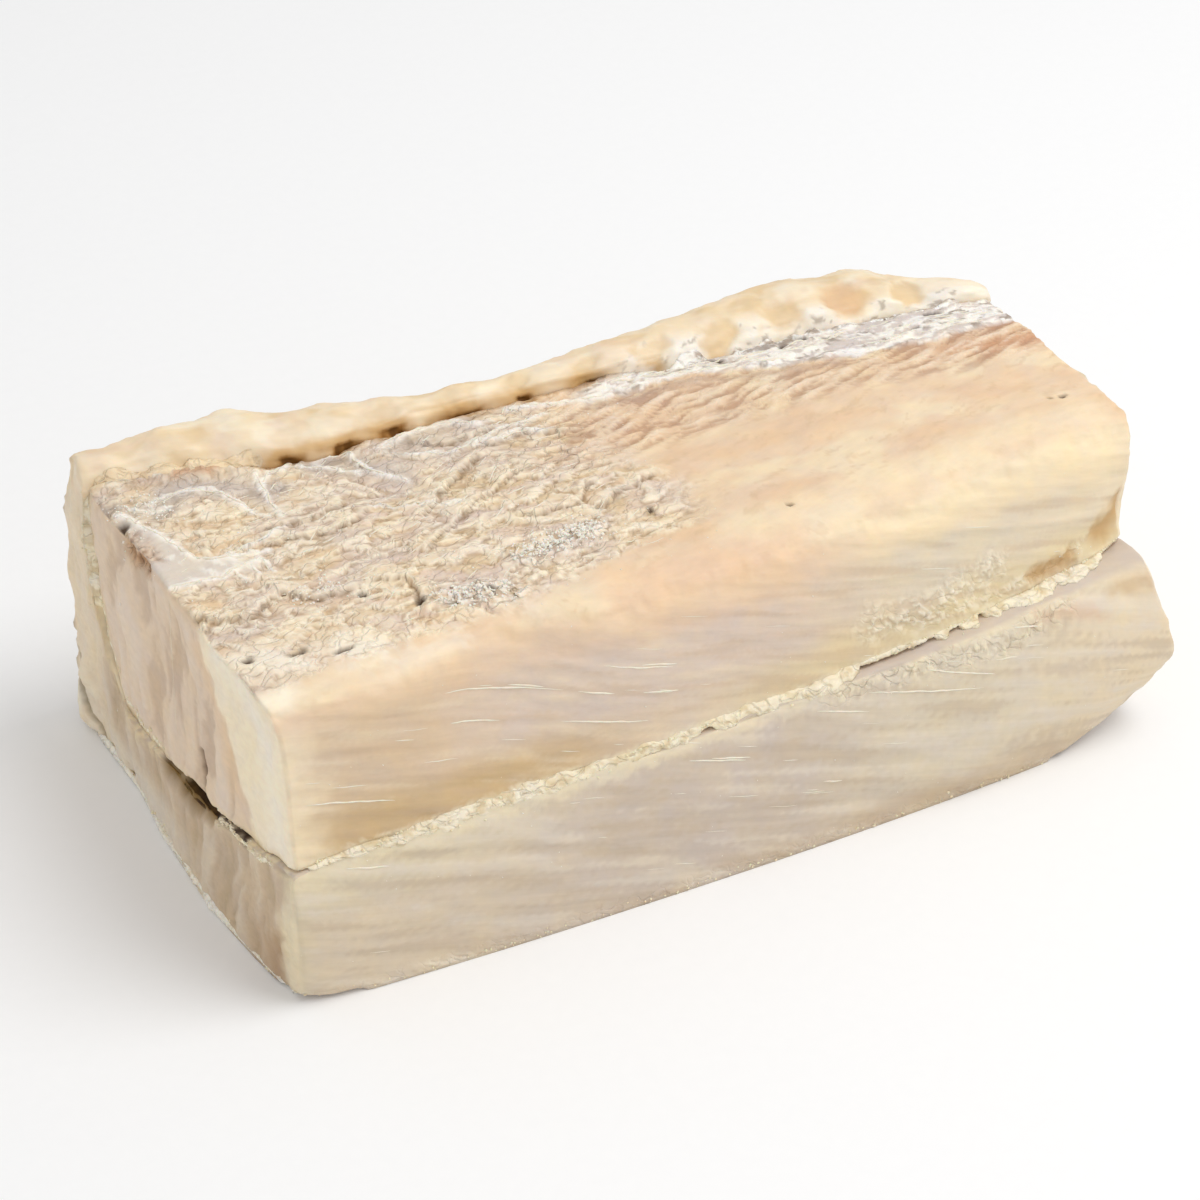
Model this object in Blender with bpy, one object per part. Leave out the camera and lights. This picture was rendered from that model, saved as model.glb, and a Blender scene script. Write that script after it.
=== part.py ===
"""A block sawn from the thick middle of a salted dried cod.

The block is a thick fillet slab nested in a second, C-shaped layer.  The
outer layer runs under the slab, turns up behind it and ends in a scalloped
rim along the top.  Both layers are cut flush at the front and at the ends.

Metres, +Z up, +X along the length, -Y towards the front cut.  The origin is
the bottom centre of the block's box.
"""

import math

import bmesh
import bpy
from mathutils import Vector, noise

# The cut ends: the left one slants back and leans out low down, the right one swells and dips
LEFT_END_X = -0.1027
LEFT_END_SLANT = -0.055
LEFT_FOOT_LEAN = 0.0030
LEFT_LEAN_HEIGHT = 0.018
LEFT_LEAN_Y = (-0.058, 0.022)
RIGHT_END_X = 0.1042
RIGHT_END_SWELL = 0.0020
SWELL_Z = 0.020
SWELL_PITCH = 0.050
BACK_CORNER_EASE = 0.0024
BACK_CORNER_Y = (0.030, 0.050)
BLOCK_HEIGHT = 0.070
SLAB_END_INSET = 0.0012

# Curves along the length, as (x, value) pairs that a smooth curve joins
FRONT_FOOT_Y = ((-0.106, -0.0565), (-0.096, -0.0600), (0.000, -0.0615), (0.080, -0.0582), (0.105, -0.0530))
FRONT_FOOT_LIFT = ((-0.106, 0.0015), (-0.090, 0.0002), (0.060, 0.0000), (0.084, 0.0008), (0.105, 0.0085))
FRONT_BULGE = ((-0.106, 0.0008), (0.000, 0.0020), (0.070, 0.0030), (0.105, 0.0075))
SEAM_FRONT_Y = ((-0.106, -0.0560), (0.000, -0.0545), (0.070, -0.0505), (0.105, -0.0430))
SEAM_FRONT_Z = (
    (-0.106, 0.0318),
    (-0.088, 0.0336),
    (-0.035, 0.0350),
    (0.010, 0.0365),
    (0.060, 0.0405),
    (0.105, 0.0432),
)
LEDGE_DEPTH = ((-0.106, 0.0012), (0.000, 0.0018), (0.060, 0.0042), (0.105, 0.0070))
TOP_FRONT_Y = ((-0.106, -0.0515), (-0.080, -0.0495), (-0.052, -0.0435), (-0.015, -0.0480), (0.105, -0.0395))
TOP_FRONT_Z = ((-0.106, 0.0685), (0.000, 0.0700), (0.080, 0.0735), (0.105, 0.0718))
TOP_FRONT_ROUND = ((-0.106, 0.0060), (0.000, 0.0110), (0.105, 0.0130))
CREASE_Y = (
    (-0.106, 0.0425),
    (-0.084, 0.0385),
    (-0.058, 0.0325),
    (-0.030, 0.0340),
    (0.020, 0.0305),
    (0.060, 0.0285),
    (0.105, 0.0225),
)
CREASE_Z = ((-0.106, 0.0665), (0.000, 0.0665), (0.105, 0.0680))
RIM_BACK_Y = (
    (-0.106, 0.0530),
    (-0.074, 0.0538),
    (-0.040, 0.0465),
    (-0.006, 0.0435),
    (0.050, 0.0492),
    (0.085, 0.0492),
    (0.105, 0.0365),
)
RIM_Z = ((-0.106, 0.0708), (-0.074, 0.0724), (-0.010, 0.0695), (0.060, 0.0722), (0.105, 0.0700))
BACK_FOOT_Y = ((-0.106, 0.0575), (0.000, 0.0565), (0.105, 0.0525))

# The heel is where the seam turns from the bed up the wall behind the slab
HEEL_Y = ((-0.106, 0.0385), (-0.060, 0.0320), (0.105, 0.0210))
HEEL_Z = ((-0.106, 0.0160), (0.105, 0.0280))
HEEL_ROUND = 0.021
BED_SAG = 0.0022
BED_SAG_AT = 0.3

LEDGE_SLOPE = 0.3
TOP_CROWN = 0.0008
FOOT_RAMP = 0.012
BACK_FOOT_ROUND = 0.012
RIM_EDGE_DROP = 0.0045
RIM_CROWN = 0.0025
SCALLOP_PITCH = 0.0165
SCALLOP_HOLLOW_X = 0.0073
SCALLOP_DEPTH = 0.0009

# Each layer stands back from the seam by half of the gap, the slab up and forward off the heel
SEAM_GAP = 0.0006
OFF_THE_HEEL = Vector((0, -0.7, 0.7))

# The open pocket in the seam at the left end
POCKET_AT = Vector((-0.105, -0.014, 0.025))
POCKET_REACH = Vector((0.012, 0.008, 0.012))
POCKET_DEPTH = 0.0030

# Hand-cut unevenness: wide waves, and the torn grain of the dried flesh
WAVE_SIZE = 0.030
WAVE_DEPTH = 0.0012
GRAIN_SIZE = 0.009
GRAIN_DEPTH = 0.0005
BASE_EASE = 0.004
UNEVEN_SEED = 4

LENGTH_CUTS = 48
SLAB_ACROSS = 12
SLAB_UP = 7
LAYER_THICK = 5
SEAM_STEPS = SLAB_ACROSS + SLAB_UP


def along(x, pairs):
    """The value at x of the smooth curve through the (x, value) pairs."""
    x = min(max(x, pairs[0][0]), pairs[-1][0])
    last = len(pairs) - 1
    i = max(k for k in range(last) if x >= pairs[k][0])
    slope = [
        (pairs[min(k + 1, last)][1] - pairs[max(k - 1, 0)][1])
        / (pairs[min(k + 1, last)][0] - pairs[max(k - 1, 0)][0])
        for k in (i, i + 1)
    ]
    width = pairs[i + 1][0] - pairs[i][0]
    t = (x - pairs[i][0]) / width
    start = (1 + 2 * t) * (1 - t) ** 2 * pairs[i][1] + t * (1 - t) ** 2 * width * slope[0]
    end = t * t * (3 - 2 * t) * pairs[i + 1][1] - t * t * (1 - t) * width * slope[1]
    return start + end


def rounded_corner(before, corner, after, radius, steps=8):
    """An arc that replaces the corner of the path before, corner, after."""
    to_before = (before - corner).normalized()
    to_after = (after - corner).normalized()
    half = to_before.angle(to_after) / 2
    reach = radius / math.tan(half)
    centre = corner + (to_before + to_after).normalized() * radius / math.sin(half)
    start = corner + to_before * reach - centre
    end = corner + to_after * reach - centre
    turn = start.angle(end)
    return [
        centre + (start * math.sin(turn * (1 - k / steps)) + end * math.sin(turn * k / steps)) / math.sin(turn)
        for k in range(steps + 1)
    ]


def point_on(path, share):
    """The point at a share of the path's length, from 0 to 1."""
    lengths = [(b - a).length for a, b in zip(path, path[1:])]
    left = share * sum(lengths)
    for a, b, length in zip(path, path[1:], lengths):
        if left <= length:
            return a.lerp(b, left / length)
        left -= length
    return path[-1].copy()


def bezier(points, t):
    """The point at t of the Bezier curve with these control points."""
    while len(points) > 1:
        points = [a.lerp(b, t) for a, b in zip(points, points[1:])]
    return points[0]


# Sections are drawn across the block, so a section's point is (y, z)


def seam_path(x):
    """From the front cut along the bed, round the heel and up to the crease."""
    front = Vector((along(x, SEAM_FRONT_Y), along(x, SEAM_FRONT_Z)))
    heel = Vector((along(x, HEEL_Y), along(x, HEEL_Z)))
    crease = Vector((along(x, CREASE_Y), along(x, CREASE_Z)))
    sag = front.lerp(heel, BED_SAG_AT) - Vector((0, BED_SAG))
    return [front, sag] + rounded_corner(sag, heel, crease, HEEL_ROUND) + [crease]


def slab_sides(x):
    """The slab's front face and its top, which meet halfway round the soft top front edge."""
    front = Vector((along(x, SEAM_FRONT_Y), along(x, SEAM_FRONT_Z)))
    edge = Vector((along(x, TOP_FRONT_Y), along(x, TOP_FRONT_Z)))
    crease = Vector((along(x, CREASE_Y), along(x, CREASE_Z)))
    crown = edge.lerp(crease, 0.5) + Vector((0, TOP_CROWN))
    arc = rounded_corner(front, edge, crown, along(x, TOP_FRONT_ROUND))
    half = len(arc) // 2
    return [front] + arc[: half + 1], arc[half:] + [crown, crease]


def slab_section(x, v, w):
    """A point of the slab's section: v from front to back, w from bed to top."""
    seam = seam_path(x)
    face, top = slab_sides(x)
    turn = SLAB_ACROSS / SEAM_STEPS
    bed = point_on(seam, v * turn)
    wall = point_on(seam, turn + w * (1 - turn))
    corner = point_on(seam, turn)
    sides = bed * (1 - w) + point_on(top, v) * w + point_on(face, w) * (1 - v) + wall * v
    corners = seam[0] * (1 - v) * (1 - w) + corner * v * (1 - w) + top[0] * (1 - v) * w + seam[-1] * v * w
    return sides - corners


def layer_section(x, v, w):
    """A point of the outer layer's section: v from the front along the bend, w from outside to seam."""
    seam = seam_path(x)
    foot = Vector((along(x, FRONT_FOOT_Y), along(x, FRONT_FOOT_LIFT)))
    flat = Vector((foot.x + FOOT_RAMP, 0))
    back_foot = Vector((along(x, BACK_FOOT_Y), 0))
    rim_back = Vector((along(x, RIM_BACK_Y), along(x, RIM_Z) - RIM_EDGE_DROP))
    outside = [foot, flat] + rounded_corner(flat, back_foot, rim_back, BACK_FOOT_ROUND) + [rim_back]
    ledge = seam[0] - Vector((1, LEDGE_SLOPE)) * along(x, LEDGE_DEPTH)
    steps = SEAM_STEPS + 1
    inside = ledge if v * steps < 0.5 else point_on(seam, (v * steps - 1) / SEAM_STEPS)

    bulge = math.sin(math.pi * w) * along(x, FRONT_BULGE)
    face = foot.lerp(ledge, w) - Vector((bulge, 0))
    scallop = -SCALLOP_DEPTH * math.cos(2 * math.pi * (x - SCALLOP_HOLLOW_X) / SCALLOP_PITCH)
    rim_top = along(x, RIM_Z) + RIM_CROWN + scallop
    rim = bezier(
        [
            rim_back,
            Vector((rim_back.x, rim_top)),
            Vector((seam[-1].x - scallop, rim_top)),
            seam[-1],
        ],
        w,
    )
    sides = point_on(outside, v) * (1 - w) + inside * w + face * (1 - v) + rim * v
    corners = foot * (1 - v) * (1 - w) + rim_back * v * (1 - w) + ledge * (1 - v) * w + seam[-1] * v * w
    return sides - corners


def share_between(value, ends):
    """Where the value lies between two ends, from 0 to 1."""
    return min(max((value - ends[0]) / (ends[1] - ends[0]), 0), 1)


def end_x(share, y, z, inset):
    """The x of a section's point, from the left end at share 0 to the right end at 1."""
    lean = LEFT_FOOT_LEAN * math.exp(-z / LEFT_LEAN_HEIGHT) * math.sin(math.pi * share_between(y, LEFT_LEAN_Y))
    ease = BACK_CORNER_EASE * share_between(y, BACK_CORNER_Y) * z / BLOCK_HEIGHT
    left = LEFT_END_X + LEFT_END_SLANT * (y - SEAM_FRONT_Y[0][1]) - lean + ease + inset
    swell = RIGHT_END_SWELL * math.cos(2 * math.pi * (z - SWELL_Z) / SWELL_PITCH)
    right = RIGHT_END_X + swell - ease - inset
    return left + (right - left) * share


def uneven(point):
    """The cut's waves and torn grain at a point, fading out at the flat underside."""
    waves = noise.noise_vector(point / WAVE_SIZE) * WAVE_DEPTH
    grain = noise.noise_vector(point / GRAIN_SIZE) * GRAIN_DEPTH
    ease = min(point.z / BASE_EASE, 1.0)
    moved = point + (waves + grain) * ease
    moved.z = max(moved.z, 0)
    return moved


def slab_off_seam(point):
    """How far the slab stands off the seam."""
    return SEAM_GAP / 2


def layer_off_seam(point):
    """How far the outer layer drops away from the seam, more so in the pocket at the left end."""
    off = point - POCKET_AT
    reach = sum((off[k] / POCKET_REACH[k]) ** 2 for k in range(3))
    return -SEAM_GAP / 2 - POCKET_DEPTH * math.exp(-reach)


def gridded_cube(cuts_x, cuts_y, cuts_z):
    """A unit cube from 0 to 1 whose faces are cut into a grid."""
    mesh = bmesh.new()
    bmesh.ops.create_cube(mesh, size=1.0)
    bmesh.ops.translate(mesh, verts=mesh.verts, vec=(0.5, 0.5, 0.5))
    for axis, cuts in enumerate((cuts_x, cuts_y, cuts_z)):
        edges = [e for e in mesh.edges if abs(e.verts[0].co[axis] - e.verts[1].co[axis]) > 0.5]
        bmesh.ops.subdivide_edges(mesh, edges=edges, cuts=cuts - 1, use_grid_fill=True)
    return mesh


def make_layer(name, section, cuts, on_seam, stand_back, inset, colour, roughness):
    """Bends a gridded cube to a section that is swept from the left end to the right end."""
    mesh = gridded_cube(*cuts)
    for vertex in mesh.verts:
        share, v, w = (round(vertex.co[k] * cuts[k]) / cuts[k] for k in range(3))
        x = LEFT_END_X + (RIGHT_END_X - LEFT_END_X) * share
        y, z = section(x, v, w)
        point = uneven(Vector((end_x(share, y, z, inset), y, z)))
        if on_seam(v, w):
            point += OFF_THE_HEEL * stand_back(point)
        vertex.co = point
    bmesh.ops.recalc_face_normals(mesh, faces=mesh.faces)
    bmesh.ops.triangulate(mesh, faces=mesh.faces, quad_method="SHORT_EDGE")
    data = bpy.data.meshes.new(name)
    mesh.to_mesh(data)
    mesh.free()
    data.shade_smooth()
    data.set_sharp_from_angle(angle=math.radians(50))
    data.materials.append(flesh(name, colour, roughness))
    layer = bpy.data.objects.new(name, data)
    bpy.context.scene.collection.objects.link(layer)
    return layer


def flesh(name, colour, roughness):
    """Dry, salt-cured cod flesh."""
    material = bpy.data.materials.new(name + "_flesh")
    material.use_nodes = True
    shader = material.node_tree.nodes["Principled BSDF"]
    shader.inputs["Base Color"].default_value = (*colour, 1)
    shader.inputs["Roughness"].default_value = roughness
    shader.inputs["Metallic"].default_value = 0
    return material


def stand_at_origin(layers):
    """Moves the layers together, so that their box's bottom centre is the origin."""
    points = [vertex.co for layer in layers for vertex in layer.data.vertices]
    low = Vector([min(point[k] for point in points) for k in range(3)])
    high = Vector([max(point[k] for point in points) for k in range(3)])
    foot = Vector(((low.x + high.x) / 2, (low.y + high.y) / 2, low.z))
    for point in points:
        point -= foot


for old in list(bpy.data.objects):
    bpy.data.objects.remove(old)

noise.seed_set(UNEVEN_SEED)
lower = make_layer(
    "lower_layer",
    layer_section,
    cuts=(LENGTH_CUTS, SEAM_STEPS + 1, LAYER_THICK),
    on_seam=lambda v, w: w == 1,
    stand_back=layer_off_seam,
    inset=0.0,
    colour=(0.74, 0.63, 0.46),
    roughness=0.6,
)
upper = make_layer(
    "upper_layer",
    slab_section,
    cuts=(LENGTH_CUTS, SLAB_ACROSS, SLAB_UP),
    on_seam=lambda v, w: w == 0 or v == 1,
    stand_back=slab_off_seam,
    inset=SLAB_END_INSET,
    colour=(0.80, 0.68, 0.52),
    roughness=0.55,
)
stand_at_origin([lower, upper])
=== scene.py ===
import math
import random

import bpy
import numpy as np
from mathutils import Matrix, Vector, noise
from mathutils.bvhtree import BVHTree


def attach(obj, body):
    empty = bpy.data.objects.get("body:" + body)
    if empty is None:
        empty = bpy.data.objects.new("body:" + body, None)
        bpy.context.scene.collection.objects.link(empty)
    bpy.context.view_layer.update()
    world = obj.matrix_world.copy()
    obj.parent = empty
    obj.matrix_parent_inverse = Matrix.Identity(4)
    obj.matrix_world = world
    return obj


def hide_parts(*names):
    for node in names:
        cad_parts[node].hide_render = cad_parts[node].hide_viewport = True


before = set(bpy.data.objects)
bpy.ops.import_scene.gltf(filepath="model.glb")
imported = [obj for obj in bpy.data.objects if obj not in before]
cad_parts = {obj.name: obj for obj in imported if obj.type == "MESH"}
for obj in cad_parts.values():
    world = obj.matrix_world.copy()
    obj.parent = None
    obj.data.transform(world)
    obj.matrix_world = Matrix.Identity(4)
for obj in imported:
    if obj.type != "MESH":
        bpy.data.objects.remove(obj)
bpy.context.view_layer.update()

# The outer layer is one thick side of a large cod, split, dry-salted and pressed.
# It runs under the slab, turns up behind it, and ends in the rim along the backbone.
# It was sawn flush with the slab at the front and at both ends.

MM = 0.001

# Places on the block are in millimetres: (x, y) on the top, (x, z) in front, (y, z) on an end.
# A hollow is its place, its half length and half width, and some have a turn in degrees.
RIM_HOLLOWS = (
    (-84.0, 45.5, 7.0, 4.2),
    (-60.0, 40.5, 7.0, 3.4),
    (-39.0, 39.5, 6.0, 3.0),
    (-21.0, 39.2, 5.5, 3.0),
    (-7.0, 38.6, 5.0, 2.8),
    (9.0, 36.6, 5.0, 3.0),
    (24.5, 36.4, 5.8, 3.8),
    (41.0, 35.4, 6.0, 4.6),
    (58.0, 36.0, 6.0, 5.8),
    (74.5, 36.0, 6.4, 7.0),
    (90.0, 32.6, 5.8, 5.4),
)
# Recesses under the overhang of the rim, given as the hollows are: both layers are dug in there and painted
# with the shade that falls under the rim
RECESSES = (
    (-64.0, 35.0, 7.0, 1.5, 6),
    (-50.5, 35.0, 8.0, 2.1, 0),
    (-37.5, 35.4, 5.0, 1.9, 3),
    (-20.5, 35.8, 7.0, 1.8, -4),
    (-7.5, 34.6, 5.0, 1.6, -8),
    (9.0, 33.6, 6.5, 1.7, -4),
    (24.5, 32.6, 4.0, 1.2, -2),
)
CREASE_X = (-105, -83, -57, -29, 21, 61, 105)
CREASE_Y = (44.2, 39.8, 34.4, 35.8, 32.7, 30.5, 24.7)
SEAM_X = (-106, -88, -35, 10, 60, 105)
SEAM_Z = (31.8, 33.6, 35.0, 36.5, 40.5, 43.2)
SEAM_ON_END = (
    (-52, 32.0),
    (-41, 30.0),
    (-31, 27.5),
    (-21, 25.0),
    (-6, 23.0),
    (9, 21.0),
    (19, 19.6),
    (25, 19.6),
    (30, 21.4),
    (35, 24.8),
    (39, 30.0),
    (41.5, 40.0),
    (43, 55.0),
    (43.6, 67.0),
)
FIBRE_SLOPE = 15

# Edges sharper than this many degrees keep some of their edge, and all of it if they lie
# within reach of the seam. Edges on the floor stay as they are.
SHARP_ANGLE = 42
SOFT_CREASE = 0.3
SEAM_REACH = 1.2
FLOOR_REACH = 0.3


def select_only(piece):
    """Makes a piece the active one, with nothing else selected."""
    bpy.ops.object.select_all(action="DESELECT")
    piece.select_set(True)
    bpy.context.view_layer.objects.active = piece


def dense_copy(node, other, name, shows):
    """A CAD node's copy, rounded but for its edges on the seam and the floor, and finer where it shows."""
    piece = bpy.data.objects.new(name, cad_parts[node].data.copy())
    bpy.context.scene.collection.objects.link(piece)
    select_only(piece)
    bpy.ops.mesh.customdata_custom_splitnormals_clear()
    bpy.ops.object.mode_set(mode="EDIT")
    bpy.ops.mesh.select_all(action="SELECT")
    bpy.ops.mesh.remove_doubles(threshold=0.01 * MM)
    bpy.ops.mesh.tris_convert_to_quads(face_threshold=math.pi, shape_threshold=math.pi)
    bpy.ops.mesh.mark_sharp(clear=True)
    bpy.ops.mesh.select_all(action="DESELECT")
    bpy.ops.mesh.edges_select_sharp(sharpness=math.radians(SHARP_ANGLE))
    bpy.ops.transform.edge_crease(value=SOFT_CREASE)
    bpy.ops.object.mode_set(mode="OBJECT")
    other_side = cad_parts[other].data
    corners = [corner.co for corner in other_side.vertices]
    seam_side = BVHTree.FromPolygons(corners, [face.vertices for face in other_side.polygons])
    creases = piece.data.attributes["crease_edge"].data
    for edge, crease in zip(piece.data.edges, creases):
        first, second = [piece.data.vertices[k].co for k in edge.vertices]
        middle = (first + second) / 2
        on_seam = seam_side.find_nearest(middle)[3] < SEAM_REACH * MM
        if middle.z < FLOOR_REACH * MM or (crease.value > 0 and on_seam):
            crease.value = 1
    rounding = piece.modifiers.new("rounding", "SUBSURF")
    rounding.levels = 2
    rounding.render_levels = 2
    bpy.ops.object.modifier_apply(modifier="rounding")
    for face in piece.data.polygons:
        face.select = shows(face.center / MM, face.normal)
    bpy.ops.object.mode_set(mode="EDIT")
    bpy.ops.mesh.subdivide(number_cuts=1)
    bpy.ops.mesh.select_all(action="DESELECT")
    bpy.ops.object.mode_set(mode="OBJECT")
    bpy.ops.object.shade_smooth()
    return piece


def vectors_of(piece, kind):
    """The vertices' places ("co") or normals ("normal") as rows of an array."""
    flat = np.empty(len(piece.data.vertices) * 3)
    piece.data.vertices.foreach_get(kind, flat)
    return flat.reshape(-1, 3)


def raise_by(piece, height, aside=0):
    """Moves each vertex out by its height, and along the block by its way aside, in millimetres."""
    moved = vectors_of(piece, "co") + vectors_of(piece, "normal") * height[:, None] * MM
    moved[:, 0] += aside * MM
    piece.data.vertices.foreach_set("co", moved.ravel())
    piece.data.update()


def rise(value, low, high):
    """0 below low, 1 above high, and smooth between."""
    t = np.clip((value - low) / (high - low), 0, 1)
    return t * t * (3 - 2 * t)


def turned(places, on_top=0, in_front=0):
    """The places turned so that x runs along fibres at these angles, in degrees, from the block's length."""
    c, s = math.cos(math.radians(on_top)), math.sin(math.radians(on_top))
    about_z = places @ np.array(((c, -s, 0), (s, c, 0), (0, 0, 1)))
    c, s = math.cos(math.radians(in_front)), math.sin(math.radians(in_front))
    return about_z @ np.array(((c, 0, s), (0, 1, 0), (-s, 0, c)))


def waves(places, size, depth=3):
    """Fractal noise at each place, its lumps this many millimetres along x, y and z."""
    scaled = places / np.array(size)
    return np.array([noise.fractal(Vector(p), 0.8, 2.0, depth) for p in scaled.tolist()])


def wandering(places, size, reach):
    """The places pushed about by noise, so that an outline drawn on them comes out ragged."""
    pushes = [waves(places + 37 * k, (size, size, size), 3) for k in (1, 2, 3)]
    return places + np.stack(pushes, 1) * reach


def off_run(flat, start, end):
    """The way to each point from the nearest point of a straight run."""
    run = np.subtract(end, start)
    share = np.clip((flat - start) @ run / max(run @ run, 1e-9), 0, 1)
    return flat - start - share[:, None] * run


def near(places, path, reach, axes=(0, 1)):
    """1 on the path, falling smoothly to 0 at its reach; the path lies in the plane of two axes."""
    flat = places[:, axes]
    best = np.full(len(flat), np.inf)
    for start, end in zip(path, path[1:] or path):
        best = np.minimum(best, np.linalg.norm(off_run(flat, start, end), axis=1))
    return rise(1 - best / reach, 0, 1)


def dish(places, x, y, long, wide, turn=0, soft=0.8):
    """1 in the middle of an ellipse on the top and 0 at its edge."""
    c, s = math.cos(math.radians(turn)), math.sin(math.radians(turn))
    along, across = (places[:, 0] - x, places[:, 1] - y)
    off = np.hypot((along * c + across * s) / long, (across * c - along * s) / wide)
    return rise(1 - off, 0, soft)


def linear(code):
    """The linear colour of an sRGB hex value."""
    parts = [int(code[k : k + 2], 16) / 255 for k in (0, 2, 4)]
    return np.array([p / 12.92 if p <= 0.04045 else ((p + 0.055) / 1.055) ** 2.4 for p in parts])


def tint_and_shade(colour, *stains):
    """A colour, or a hex value, blended towards each layer's hex value in turn by its amount from 0 to 1. The
    layers are the flesh's own colours and painted light and shade.
    """
    if isinstance(colour, str):
        colour = linear(colour)
    for code, amount in stains:
        colour = colour + (linear(code) - colour) * np.clip(amount, 0, 1)[:, None]
    return colour


def store(piece, name, values):
    """Keeps a colour or a number for each vertex on the mesh under this name."""
    if values.ndim == 2:
        layer = piece.data.color_attributes.new(name, "FLOAT_COLOR", "POINT")
        layer.data.foreach_set("color", np.hstack([values, np.ones((len(values), 1))]).ravel())
    else:
        layer = piece.data.attributes.new(name, "FLOAT", "POINT")
        layer.data.foreach_set("value", np.clip(values, 0, 1))


def outer_shows(place, normal):
    """Whether a face is on the front, on an end or on the rim."""
    return normal.y < -0.45 or abs(normal.x) > 0.6 or (place.z > 63 and normal.z > -0.2)


outer = dense_copy("lower_layer", "upper_layer", "outer_layer", outer_shows)
places = vectors_of(outer, "co") / MM
facing = vectors_of(outer, "normal")
x, y, z = places.T
ragged = wandering(places, 7, 1.8)
wobble = wandering(places, 22, 5)
off_floor = rise(z, 0.2, 3)
on_rim = rise(z, 62, 66) * rise(y, 22, 27)
in_front = rise(-facing[:, 1], 0.45, 0.8) * (1 - on_rim)
at_left = rise(-facing[:, 0], 0.45, 0.8)
at_right = rise(facing[:, 0], 0.45, 0.8)
at_back = rise(facing[:, 1], 0.35, 0.7) * (1 - on_rim * 0.7)
on_edge = 1 - rise(np.abs(facing).max(1), 0.75, 0.96)
under_seam = np.interp(x, SEAM_X, SEAM_Z) - z
behind = y - np.interp(x, CREASE_X, CREASE_Y)
slanted = turned(places, in_front=FIBRE_SLOPE)
fibres = waves(slanted, (32, 7, 3.2))
grain = waves(places, (2.8, 2.4, 2.0))
crumb = waves(ragged, (1.9, 1.6, 1.3))
wide = waves(places, (24, 16, 12), 2)
flap_line = near(ragged, ((57, 17), (53, 17), (48, 9), (44, 1)), 1.3, (1, 2)) * at_left
flap = in_front * near(ragged, ((20, 36), (40, 36), (60, 35), (80, 38)), 5, (0, 2))

hollows = sum(dish(ragged, *place, soft=0.45) for place in RIM_HOLLOWS) * on_rim
hollows *= np.interp(x, (-90, -10, 20, 40), (0.35, 0.55, 0.75, 1.0))
low_face = rise(z, 60, 63) * (1 - rise(z + crumb * 0.4, 67.0, 68.2))
recess = sum(dish(ragged, *place) for place in RECESSES) * low_face
around = sum(dish(ragged, a - 1, b + 0.8, c + 3.5, d + 2.2, e) for a, b, c, d, e in RECESSES)
around *= rise(z, 60, 63) * (1 - rise(z, 68.6, 70.4))
flow = waves(wobble, (30, 5.5, 24), 4)
by_left = rise(-x, 98, 101)
by_seam = near(places, SEAM_ON_END, 4.0, (1, 2)) * by_left
pocket = near(ragged, ((4, 19.6), (-5, 20.8), (-15, 22.6)), 4.4, (1, 2)) * by_left
pocket_slit_shadow = near(ragged, ((-3, 22), (-10, 22.8), (-19, 24.2), (-34, 27.6)), 2.2, (1, 2)) * by_left
back_flap = near(places, ((52, -2), (50, 13)), 8, (1, 2)) * at_left

height = fibres * 0.35 * in_front + grain * 0.05 + wide * 0.4
height += rise(crumb, 0, 0.5) * 0.5 * flap
edge_waves = waves(places, (15, 15, 15)) * 0.9 + waves(ragged, (5, 5, 5)) * 0.25
height += edge_waves * on_edge * rise(z, 3, 12)
height -= 0.8 * hollows + 0.8 * recess
height += (waves(places, (10, 8, 8)) * 0.5) * on_rim
height += (flow * 0.8 + 2.6 * back_flap - 1.0 * flap_line) * at_left - 2.0 * pocket
height += 0.9 * at_left * rise(z, 30, 40) * (1 - rise(z, 54, 64)) * rise(y, 28, 40)
height += (waves(wobble, (30, 6, 10)) * 0.6) * at_right
height += (waves(slanted, (26, 6, 2.2)) * 0.7 + wide * 0.7 + rise(crumb, 0.1, 0.5) * 0.25) * at_back
ragged_foot = rise(5 - z, 0, 4) * (1 - rise(-facing[:, 2], 0.5, 0.8))
height += waves(ragged, (6, 6, 3)) * 0.35 * ragged_foot
cut_corner = -9 * rise(x, 84, 104) * rise(y, 25, 42) * rise(z, 45, 68)
raise_by(outer, height * off_floor, cut_corner)

streaks = waves(slanted + 11, (34, 9, 3.0), 4)
end_waves = waves(wobble, (30, 5, 9))
blotch = waves(places + 90, (14, 8, 9))
septa = on_rim * rise(8 - behind, 0, 4) * np.interp(x, (-104, 10, 30), (0.3, 0.5, 1.0))
film = on_rim * rise(x, 8, 24) * rise(4.2 - behind + (ragged - places)[:, 1] * 1.6, 0, 1.5) * (1 - hollows)
crust_share = np.interp(x, (-100, -70, 0, 100), (0.6, 0.85, 0.6, 0.5))
flesh = tint_and_shade(
    "cdbfb1",
    ("d8c9b3", rise(-x, 20, 80) * in_front),
    ("ded2b6", in_front * rise(-x, 30, 80) * rise(15 - under_seam, 0, 9) * 0.75),
    ("dbcfb9", in_front * rise(x, 0, 50)),
    ("e4d4ba", in_front * rise(x, 55, 98)),
    ("c9b59a", in_front * rise(8 - z, 0, 6) * rise(x, -60, 0) * 0.5),
    ("e3d8c8", in_front * rise(streaks, 0.1, 0.5) * 0.55),
    ("c3b19a", in_front * rise(-streaks, 0.1, 0.5) * 0.5),
    ("c0a88c", in_front * near(ragged, ((30, 3), (75, 5)), 7, (0, 2)) * 0.4),
    ("ddb898", in_front * near(ragged, ((73, 38), (88, 35.5)), 3.2, (0, 2)) * 0.5),
    ("cbb08c", in_front * near(ragged, ((94, 38), (104, 37.5)), 3.6, (0, 2)) * 0.7),
    ("f0e4c8", flap * rise(crumb, 0.0, 0.4) * 0.7),
    # A lighter band on the front by the rounded left corner is a painted highlight
    ("dfd2b2", in_front * rise(-x, 97, 104) * 0.8),
    ("ece0c4", in_front * rise(5 - under_seam + crumb * 1.5, 0, 4) * crust_share),
)
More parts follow.
